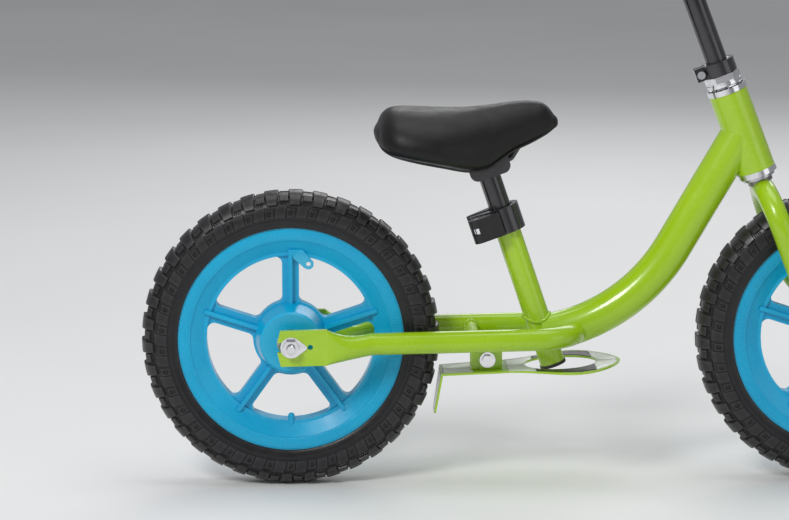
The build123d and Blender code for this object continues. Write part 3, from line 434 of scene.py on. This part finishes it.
def on_tread(distance):
    """(radius, side, outward radius, outward side) at a distance from the crown, in mm."""
    reach = abs(distance)
    low, high = 0, len(TREAD) - 1
    while high - low > 1:
        mid = (low + high) // 2
        if TREAD[mid][0] <= reach:
            low = mid
        else:
            high = mid
    (s0, r0, y0), (s1, r1, y1) = TREAD[low], TREAD[high]
    share = min(max((reach - s0) / (s1 - s0), 0), 1)
    length = hypot(r1 - r0, y1 - y0)
    sign = 1 if distance >= 0 else -1
    radius, side = r0 + (r1 - r0) * share, y0 + (y1 - y0) * share
    return radius, side * sign, (y1 - y0) / length, (r0 - r1) / length * sign


def distance_at(radius):
    """The distance from the crown at which the sidewall has a given radius."""
    return min(TREAD[TREAD_STEPS:], key=lambda row: abs(row[1] - radius))[0]


class TyreSurface:
    """Turns an angle, a distance from the crown and a height into a point."""

    def __init__(self, axle):
        self.axle = axle

    def __call__(self, angle, distance, height):
        radius, side, out, across = on_tread(distance)
        radius += out * height
        turn = radians(angle)
        return self.axle + Vector((
            radius * cos(turn), side + across * height, radius * sin(turn))) * MM


def blend_corners(corners, u, v):
    """The angle and distance at shares u and v of a block with four corners."""
    (a0, s0), (a1, s1), (a2, s2), (a3, s3) = corners
    angle = (a0 * (1 - u) + a1 * u) * (1 - v) + (a3 * (1 - u) + a2 * u) * v
    distance = (s0 * (1 - u) + s1 * u) * (1 - v) + (s3 * (1 - u) + s2 * u) * v
    return angle, distance


def knob(bm, surface, corners, height, recess, along, across):
    """A tread block with drafted sides and eased edges, on four (angle, distance) corners.

    A recess sinks the middle of the block by that many millimetres. Without one, its top has
    along times across faces inside the eased edges.
    """
    length = abs(corners[1][0] - corners[0][0]) * radians(1) * KNOB_RADIUS
    width = abs(corners[3][1] - corners[0][1])
    ease = (KNOB_EASE / length, KNOB_EASE / width)
    draft = (KNOB_DRAFT / length, KNOB_DRAFT / width)
    lines = []
    for count, inset in ((along, ease[0]), (across, ease[1])):
        if recess:
            lines.append([inset, *RECESS_RIM, 1 - inset])
        else:
            lines.append([inset + (1 - 2 * inset) * i / count for i in range(count + 1)])

    def put(u, v, level):
        return bm.verts.new(surface(*blend_corners(corners, u, v), level))

    top = [[put(u, v, height) for v in lines[1]] for u in lines[0]]
    last = (len(lines[0]) - 1, len(lines[1]) - 1)
    rim = [(i, 0) for i in range(last[0])] + [(last[0], j) for j in range(last[1])]
    rim += [(i, last[1]) for i in range(last[0], 0, -1)] + [(0, j) for j in range(last[1], 0, -1)]

    def pushed(index, end, value, by):
        return -by if index == 0 else 1 + by if index == end else value

    rings = [[top[i][j] for i, j in rim]]
    for level, by in ((height - KNOB_EASE, (0, 0)), (KNOB_FOOT, draft)):
        ring = []
        for i, j in rim:
            u = pushed(i, last[0], lines[0][i], by[0])
            v = pushed(j, last[1], lines[1][j], by[1])
            ring.append(put(u, v, level))
        rings.append(ring)
    for one, two in zip(rings, rings[1:]):
        for k in range(len(rim)):
            m = (k + 1) % len(rim)
            bm.faces.new((one[k], one[m], two[m], two[k]))
    bm.faces.new(rings[-1])
    for i in range(last[0]):
        for j in range(last[1]):
            cell = (top[i][j], top[i + 1][j], top[i + 1][j + 1], top[i][j + 1])
            if recess and (i, j) == (1, 1):
                near, far = RECESS_FLOOR
                sunk = [put(u, v, height - recess) for u, v in (
                    (near, near), (far, near), (far, far), (near, far))]
                for k in range(4):
                    m = (k + 1) % 4
                    bm.faces.new((cell[k], cell[m], sunk[m], sunk[k]))
                bm.faces.new(sunk)
            else:
                bm.faces.new(cell)


def box_corners(angle, half, low, high, lean=0.0, top_half=None):
    """Corners of a block about an angle, from one distance to another nearer the crown."""
    top_half = half if top_half is None else top_half
    return ((angle - half, low), (angle + half, low),
            (angle + lean + top_half, high), (angle + lean - top_half, high))


def mirrored_corners(corners):
    return tuple((angle, -distance) for angle, distance in corners)


def carcass_outline():
    """(distance, height) stations from crown to rim, with the sidewall's raised lines."""
    tread = [(s, 0.0) for s in range(0, 35, 2)]
    lines = []
    for radius, height in SIDE_LINES:
        s = distance_at(radius)
        lines += [(s - SIDE_LINE_FOOT, 0.0), (s - SIDE_LINE_TOP, height),
                  (s + SIDE_LINE_TOP, height), (s + SIDE_LINE_FOOT, 0.0)]
    foot = TREAD[-1][0]
    plain = [(s, 0.0) for s in (35.2, 42.5, 45.0, foot - 0.8)]
    return tread + sorted(lines + plain) + [(foot, -0.25)]


def pitch_blocks(start):
    """The blocks of one pitch on half of the tread: corners, height, recess and faces."""
    between = start + PITCH / 2
    long_lug = box_corners(start, 2.50, 36.3, 24.3, -1.1)
    short_lug = box_corners(between, 1.78, 36.3, 27.2, -0.5)
    shoulder = box_corners(start - 2.3, 1.75, 19.6, 12.6, -0.1)
    crown = box_corners(between - 2.0, 1.95, 23.6, 1.0, -0.3, 2.85)
    blocks = [(long_lug, 1.0, 0.0, 3, 4), (short_lug, 1.0, 1.1, 3, 3),
              (shoulder, 2.3, 0.0, 3, 3), (crown, 3.1, 0.0, 3, 7)]
    for k in range(4):
        tooth = box_corners(start - 2.75 + k * 0.85, 0.20, 22.9, 20.6)
        blocks.append((tooth, 1.2, 0.0, 1, 1))
    return blocks


def knobby_tyre(end):
    """The foam tyre with its side lugs, shoulder knobs and crown blocks."""
    axle = AXLES[end]
    surface = TyreSurface(axle)
    bm = bmesh.new()
    half = carcass_outline()
    stations = [(-s, h) for s, h in reversed(half[1:])] + half
    rows = []
    segments = REPEATS * 8
    for k in range(segments):
        angle = 360 * k / segments
        turn = radians(angle)
        row = [surface(angle, s, h) for s, h in stations]
        row += [axle + Vector((r * cos(turn), y, r * sin(turn))) * MM for r, y in RIM_BED]
        rows.append(row)
    skin(bm, rows, close_ends=True)
    for k in range(REPEATS):
        for corners, *shape in pitch_blocks(k * PITCH):
            knob(bm, surface, corners, *shape)
            knob(bm, surface, mirrored_corners(corners), *shape)
    tyre = piece(f"{end}_knobby_tyre", bm, FOAM, f"{end}_wheel", 32)
    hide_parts(f"{end}_tyre")


# ---- Rim reeding ----
REEDS = 340
REED_HEIGHT = 0.38
REED_SHAPE = ((0.0, 0), (0.28, 1), (0.66, 1), (0.9, 0))  # share of the pitch and of the height
REED_SPAN = (101.9, 112.7)  # inner and outer radius
REED_EDGE = -0.3  # height of the band's edges, sunk into the rim
FLANGE_SIDE = 17.04  # just proud of the flange's face


def reeded_band(end):
    """Fine radial reeding moulded into both faces of the rim's flange."""
    axle = AXLES[end]
    bm = bmesh.new()
    inner, outer = REED_SPAN
    for side in (RIGHT, LEFT):
        rows = []
        for k in range(REEDS):
            for share, level in REED_SHAPE:
                turn = 2 * pi * (k + share) / REEDS
                height = level * REED_HEIGHT
                row = []
                for radius, rise in ((inner, REED_EDGE), (inner + 0.1, 0.0),
                                     (inner + 0.6, height), (outer - 0.7, height),
                                     (outer, 0.0), (outer + 0.1, REED_EDGE)):
                    y = side * (FLANGE_SIDE + rise)
                    row.append(axle + Vector((radius * cos(turn), y, radius * sin(turn))) * MM)
                rows.append(row)
        skin(bm, rows, close_ends=True)
    piece(f"{end}_rim_reeding", bm, BLUE, f"{end}_wheel", 60)


for end in ("rear", "front"):
    knobby_tyre(end)
    reeded_band(end)


# ---- Saddle ----
# Stations from tail to nose: ahead of the rear axle, half width, lower edge, top; millimetres.
SADDLE_STATIONS = (
    (88, 32, 348.5, 366), (92, 45, 343, 375.5), (100, 56, 338.5, 381.5), (112, 62.5, 335, 383),
    (130, 65, 331, 382.5), (150, 63, 327, 381.5), (175, 52.5, 321.5, 381.5),
    (195, 42.5, 322.5, 383.5), (206, 38, 329, 385), (222, 31, 339.5, 387.5),
    (240, 25.5, 347.5, 388.5), (255, 19, 355, 385.5), (264.5, 9, 361, 374),
)
WIDEST_AT = 0.27  # share of a section's height at which it is widest
# Exponents of a section's side and of its height, then how much it draws in, and how fast.
ABOVE = (0.72, 0.80, 0.30, 1.5)
BELOW = (0.38, 0.62, 0.13, 1)
# Rings that round off an end: share of its section's size, and mm beyond it.
SADDLE_ENDS = ((0.86, 1.6), (0.6, 3.0), (0.3, 3.8))
SADDLE_SWELL = 0.0035  # the furthest that a point may puff out, m
SADDLE_FRAMES = 14
HEM_INSET = 0.86  # share of the half width
HEM_RISE = 2.2  # above the lower edge, mm
HEM_RADIUS = 1.1


def saddle_row(ahead, half, low, high, points=36):
    """One closed section: crowned on top, sides flaring outwards low down, then curling in."""
    row = []
    widest = low + (high - low) * WIDEST_AT
    for k in range(points):
        turn = 2 * pi * k / points
        across, up = cos(turn), sin(turn)
        (side, lift, narrowing, speed), edge = (ABOVE, high) if up >= 0 else (BELOW, low)
        y = half * abs(across) ** side * (1 if across >= 0 else -1)
        y *= 1 - narrowing * abs(up) ** speed
        z = widest + (edge - widest) * abs(up) ** lift
        row.append(Vector((REAR_AXLE.x + ahead * MM, y * MM, z * MM)))
    return row


def between_stations(share):
    """The station at a share of the saddle's length, smoothed between the listed ones."""
    spot = share * (len(SADDLE_STATIONS) - 1)
    i = min(int(spot), len(SADDLE_STATIONS) - 2)
    t = spot - i
    rows = [SADDLE_STATIONS[max(0, min(i + k, len(SADDLE_STATIONS) - 1))] for k in (-1, 0, 1, 2)]
    values = []
    for a, b, c, d in zip(*rows):
        values.append(0.5 * (2 * b + (c - a) * t + (2 * a - 5 * b + 4 * c - d) * t * t
                             + (3 * b - a - 3 * c + d) * t ** 3))
    return values


def inflate(cover):
    """Lets the cover puff out like a filled cushion, then keeps the result as its mesh."""
    start = [vertex.co.copy() for vertex in cover.data.vertices]
    cloth = cover.modifiers.new("puff", "CLOTH")
    cloth.settings.quality = 6
    cloth.settings.mass = 0.3
    cloth.settings.tension_stiffness = 40
    cloth.settings.compression_stiffness = 40
    cloth.settings.bending_stiffness = 6
    cloth.settings.use_pressure = True
    cloth.settings.uniform_pressure_force = 4.0
    cloth.settings.effector_weights.gravity = 0.0
    scene = bpy.context.scene
    for step in range(1, SADDLE_FRAMES + 1):
        scene.frame_set(step)
    settled = cover.evaluated_get(bpy.context.evaluated_depsgraph_get())
    places = [vertex.co.copy() for vertex in settled.data.vertices]
    cover.modifiers.remove(cloth)
    for vertex, old, new in zip(cover.data.vertices, start, places):
        move = new - old
        if move.length > SADDLE_SWELL:
            move *= SADDLE_SWELL / move.length
        vertex.co = old + move
    scene.frame_set(1)


def saddle_cover():
    """The padded cover, closed at both ends and puffed out by a cloth simulation."""
    bm = bmesh.new()
    steps = 44
    rows = [saddle_row(*between_stations(i / steps)) for i in range(steps + 1)]
    made = skin(bm, rows)
    for end, row in ((-1, made[0]), (1, made[-1])):
        inner = row
        centre = sum((vertex.co for vertex in row), Vector()) / len(row)
        for share, out in SADDLE_ENDS:
            beyond = Vector((end * out * MM, 0, 0))
            ring = [bm.verts.new(centre + (v.co - centre) * share + beyond) for v in row]
            for i in range(len(row)):
                j = (i + 1) % len(row)
                bm.faces.new((inner[i], inner[j], ring[j], ring[i]))
            inner = ring
        bm.faces.new(inner)
    cover = piece("saddle_padding", bm, VINYL, "saddle", 80)
    inflate(cover)
    smooth = cover.modifiers.new("smooth", "SUBSURF")
    smooth.levels = smooth.render_levels = 1
    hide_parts("saddle_cover")


def saddle_hem():
    """The piped hem that runs round the saddle's lower edge."""
    line = []
    steps = 60
    for side in (RIGHT, LEFT):
        run = []
        for i in range(steps + 1):
            ahead, half, low, _ = between_stations(i / steps)
            run.append(Vector((REAR_AXLE.x + ahead * MM, side * half * HEM_INSET * MM,
                               (low + HEM_RISE) * MM)))
        line += run if side == RIGHT else run[::-1]
    bm = bmesh.new()
    loop_tube(bm, line, HEM_RADIUS * MM)
    piece("saddle_hem", bm, MOULDING, "saddle", 80)


saddle_cover()
saddle_hem()


# ---- Grips ----
BAR_MIDDLE = Vector((0, 0, 0.394))  # up the steering axis
BAR_END = (-0.038, 0.200, 0.042)  # from the bar's middle, forwards, sideways and up
BAR_BEND = (-0.008, 0.088, 0.038)  # where the bar's straight end starts
# Outlines in mm: radius, and distance outwards from the bar's end.
GRIP_FLANGE = ((11.15, -100), (18.6, -100), (19, -99), (19, -97), (17.4, -95.6), (15.6, -93))
GRIP_RIB = ((14.3, 0), (15.3, 0.8), (15.4, 2.6), (14.3, 3.4))
GRIP_RIBS = range(-90, -5, 5)  # where each rib starts
GRIP_TIP = ((15.4, -4), (16.8, -2.5), (17, 0), (16.4, 2), (13, 3), (0.6, 3), (0.6, 0.1),
            (11.15, 0.1))


def on_bar(side, offset):
    """A point at an offset from the bar's middle, on one side of the bike."""
    ahead, across, up = offset
    return STEER @ BAR_MIDDLE + Vector((ahead, side * across, up))


def ribbed_grip(side, name):
    """A soft grip: flange, ribs and a rounded end, turned about the bar's end."""
    outer = on_bar(side, BAR_END)
    place = placed(outer, outer - on_bar(side, BAR_BEND))
    outline = [*GRIP_FLANGE]
    for start in GRIP_RIBS:
        outline += [(radius, start + height) for radius, height in GRIP_RIB]
    outline += GRIP_TIP
    bm = bmesh.new()
    lathe(bm, place, [(r * MM, h * MM) for r, h in outline], 40)
    grip = piece("ribbed_" + name, bm, GRIP, "handlebar", 30)
    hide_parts(name)


ribbed_grip(LEFT, "grip_left")
ribbed_grip(RIGHT, "grip_right")


# ---- Weld beads ----
MAIN_RADIUS = 19.05  # the main tube, mm
MAIN_BEND = (230.0, 180.0, 180.0)  # bend centre ahead of and above the rear axle, and radius
BEND_END = -30.0  # the angle at which the bend turns into the straight
SEAT_TUBE_RADIUS = 12.7
SEAT_WELD_SPAN = (0.002, 0.030)  # where the weld may lie, up the seat tube, m
BRIDGE_RADIUS = 6.2  # the stays' bridge, with the weld round it, mm
BRIDGE_END = 11.2  # from the middle of a stay to the weld
BRIDGE_PLACE = (0.184, 0.044, 0.1523)  # ahead of the rear axle, sideways, above the ground, m
BEAD = 1.9  # a weld bead's mean radius, mm
RING_STEPS = 72


def rippled(along):
    """A bead's radius with the ripples of a welder's steps."""
    return (BEAD + 0.28 * sin(along / MM * 2.6) + 0.12 * sin(along / MM * 0.9 + 1)) * MM


def bend_frame(angle):
    """The main tube's section at an angle of its bend, with Z along the tube."""
    ahead, above, radius = MAIN_BEND
    turn = radians(angle)
    centre = REAR_AXLE + Vector((ahead + radius * cos(turn), 0, above + radius * sin(turn))) * MM
    return placed(centre, (-sin(turn), 0, cos(turn)), (cos(turn), 0, sin(turn)))


def on_main_tube(point):
    """The nearest point on the main tube's surface, in the bend or on the straight."""
    ahead, above, radius = MAIN_BEND
    centre = REAR_AXLE + Vector((ahead, 0, above)) * MM
    out = point - centre
    angle = degrees(atan2(out.z, out.x))
    line = bend_frame(min(angle, BEND_END))
    local = line.inverted() @ point
    spot = line @ Vector((0, 0, local.z if angle > BEND_END else 0))
    away = point - spot
    return spot + away.normalized() * MAIN_RADIUS * MM


def meeting(place, radius, heights, tries=80):
    """Points round a tube where its surface meets the main tube's, one for each direction."""
    line = []
    for k in range(RING_STEPS):
        turn = 2 * pi * k / RING_STEPS
        best = None
        for i in range(tries + 1):
            height = heights[0] + (heights[1] - heights[0]) * i / tries
            point = place @ Vector((radius * cos(turn), radius * sin(turn), height))
            miss = (point - on_main_tube(point)).length
            if best is None or miss < best[0]:
                best = (miss, point)
        line.append(best[1])
    return line


def ring_line(place, radius, height):
    """Points on a circle about a matrix's Z axis."""
    line = []
    for k in range(RING_STEPS):
        turn = 2 * pi * k / RING_STEPS
        line.append(place @ Vector((radius * cos(turn), radius * sin(turn), height)))
    return line


def bead(name, line, finer=4):
    """A weld bead round a loop, on more points than the line has, so that the ripples show."""
    points = []
    for one, two in zip(line, line[1:] + line[:1]):
        points += [one.lerp(two, k / finer) for k in range(finer)]
    bm = bmesh.new()
    loop_tube(bm, points, rippled)
    piece(name, bm, GREEN, "frame", 80)


def frame_welds():
    bead("weld_seat_tube_top", meeting(SEAT, SEAT_TUBE_RADIUS * MM, SEAT_WELD_SPAN))
    ahead, across, above = BRIDGE_PLACE
    for side, end in ((RIGHT, "right"), (LEFT, "left")):
        inward = placed(Vector((REAR_AXLE.x + ahead, side * across, above)), (0, -side, 0))
        bead("weld_bridge_" + end, ring_line(inward, BRIDGE_RADIUS * MM, BRIDGE_END * MM))


frame_welds()


# ---- Footplate films ----
PLATE_LEAN = radians(3.0)
PLATE_POINT = Vector((0.200, 0, -0.0325))  # on the plate's top, from the rear axle
PLATE = placed(REAR_AXLE + PLATE_POINT, (-sin(PLATE_LEAN), 0, cos(PLATE_LEAN)))
# In millimetres, on the plate's top: the hole's centre ahead, half length and half width,
# and the plate's edge as points ahead and half widths.
HOLE = (73.0, 37.0, 32.0)
PLATE_EDGE = ((-49, 24), (8, 28), (30, 33.5), (52, 41), (70, 49.5), (89, 54.5), (104, 49),
              (117, 36), (127, 20), (132.5, 6))
FILM_MARGIN = 2.4  # bare paint along the plate's edge
HOLE_MARGIN = 1.6  # and round the hole
FILM_LIFT = 0.12
FILM_THICKNESS = 0.1
FLANGE_TOP = -49.15  # the flange's outer face, ahead on the plate
FLANGE_DOWN = Vector((-0.16, 0, -1)).normalized()
FLANGE_FILM = (1.0, 41.0)  # from and to, down the flange


def edge_half(ahead):
    """The plate's half width at a place ahead."""
    for (x0, y0), (x1, y1) in zip(PLATE_EDGE, PLATE_EDGE[1:]):
        if x0 <= ahead <= x1:
            return y0 + (y1 - y0) * (ahead - x0) / (x1 - x0)
    return 0.0


def film_sheet(name, rows, material):
    """A thin sheet of film through rows of points."""
    bm = bmesh.new()
    skin(bm, rows, close_rows=False)
    sheet = piece(name, bm, material, "frame", 60)
    thick = sheet.modifiers.new("thickness", "SOLIDIFY")
    thick.thickness = FILM_THICKNESS * MM
    thick.offset = 0.0


def plate_film(name, start, stop, side, material):
    """A strip of printed film on one half of the plate, from the hole or middle to the edge."""
    rows = []
    steps = max(6, int((stop - start) / 2))
    for i in range(steps + 1):
        ahead = start + (stop - start) * i / steps
        reach = (ahead - HOLE[0]) / HOLE[1]
        inner = (HOLE[2] + HOLE_MARGIN) * (1 - reach * reach) ** 0.5 if abs(reach) < 1 else 0.0
        outer = max(inner + 0.05, edge_half(ahead) - FILM_MARGIN)
        rows.append([PLATE @ Vector((ahead * MM, side * (inner + (outer - inner) * k / 4) * MM,
                                     FILM_LIFT * MM)) for k in range(5)])
    film_sheet(name, rows, material)


def flange_film():
    """White film on the back of the flange that hangs from the plate's rear edge."""
    top = PLATE @ Vector((FLANGE_TOP * MM, 0, 0))
    start, stop = FLANGE_FILM
    rows = []
    for i in range(13):
        drop = start + (stop - start) * i / 12
        half = 22.0 - 11.0 * drop / 44 - max(0.0, drop - 37) ** 2 * 0.35
        rows.append([top + FLANGE_DOWN * drop * MM + Vector((0, half * k / 3 * MM, 0))
                     for k in range(-3, 4)])
    film_sheet("film_flange", rows, WHITE_FILM)


for side, end in ((RIGHT, "right"), (LEFT, "left")):
    plate_film("film_rear_" + end, -47.5, -16.5, side, WHITE_FILM)
    plate_film("film_middle_" + end, 18, 46, side, WHITE_FILM)
    plate_film("film_band_" + end, 46, 106, side, DARK_FILM)
    plate_film("film_tip_" + end, 106, 130.5, side, WHITE_FILM)
flange_film()


# ---- Finishes of the CAD nodes ----
def finish_frame_nodes():
    """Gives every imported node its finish."""
    slots = {part["node"]: part["material_slot"] for part in frame["record"]["subparts"]}
    for name, node in frame["nodes"].items():
        node.data.materials.clear()
        node.data.materials.append(FINISHES[slots[name]])


finish_frame_nodes()


# ---- Studio ----
VIEW_DISTANCE = 3.0
VIEW_ELEVATION = 11.5  # degrees above the rear axle
VIEW_YAW = 2.04
VIEW_PITCH = -10.034
VIEW_LENS = 135.4
FLOOR_SIZE = 60.0
FLOOR_HEIGHT = -0.0002
# Name, place, the point it faces, size and power.
LAMPS = (
    ("key", (-1.5, -2.1, 2.3), (0.0, 0.0, 0.22), (0.9, 0.9), 50),
    ("overhead", (0.1, 0.2, 2.8), (0.0, 0.0, 0.2), (2.6, 1.6), 26),
    ("fill", (2.3, -1.9, 1.0), (0.1, 0.0, 0.25), (1.6, 1.6), 7),
    ("rim", (0.6, 2.4, 1.7), (0.0, 0.0, 0.3), (2.0, 1.2), 18),
)


def pale_floor():
    bm = bmesh.new()
    half = FLOOR_SIZE / 2
    rows = [[Vector((x, y, FLOOR_HEIGHT)) for x in (-half, half)] for y in (-half, half)]
    skin(bm, rows, close_rows=False)
    paint = Paint("pale_floor", Roughness=0.7, Specular_IOR_Level=0.2)
    tone = paint.mix(paint.spread(paint.noise(0.8, 3), 0.3, 0.7), rgb(0.80, 0.80, 0.80),
                     rgb(0.86, 0.86, 0.855))
    paint.use("Base Color", tone)
    mesh = bpy.data.meshes.new("floor")
    bm.to_mesh(mesh)
    bm.free()
    mesh.shade_smooth()
    mesh.materials.append(paint.material)
    floor = bpy.data.objects.new("floor", mesh)
    bpy.context.scene.collection.objects.link(floor)


def softbox(name, place, aim, size, power):
    light = bpy.data.lights.new(name, "AREA")
    light.shape = "RECTANGLE"
    light.size, light.size_y = size
    light.energy = power
    lamp = bpy.data.objects.new(name, light)
    lamp.location = place
    lamp.visible_camera = False
    lamp.rotation_euler = (Vector(aim) - Vector(place)).to_track_quat("-Z", "Y").to_euler()
    bpy.context.scene.collection.objects.link(lamp)


def studio():
    pale_floor()
    for lamp in LAMPS:
        softbox(*lamp)
    world = bpy.data.worlds.new("soft_white")
    bpy.context.scene.world = world
    world.use_nodes = True
    sky = world.node_tree.nodes["Background"]
    sky.inputs["Color"].default_value = rgb(0.94, 0.96, 1.0)
    sky.inputs["Strength"].default_value = 0.30
    bpy.context.scene.view_settings.view_transform = "Standard"


def camera():
    """The photograph's view: from the bike's right, 3 m from the rear axle and above it."""
    up, out = sin(radians(VIEW_ELEVATION)), cos(radians(VIEW_ELEVATION))
    eye = bpy.data.objects.new("camera", bpy.data.cameras.new("camera"))
    eye.data.lens = VIEW_LENS
    eye.data.sensor_width = 36.0
    eye.location = REAR_AXLE + Vector((0, -out, up)) * VIEW_DISTANCE
    eye.rotation_euler = (radians(90 + VIEW_PITCH), 0, radians(-VIEW_YAW))
    eye.data.clip_end = 60
    bpy.context.scene.collection.objects.link(eye)
    bpy.context.scene.camera = eye


studio()
camera()
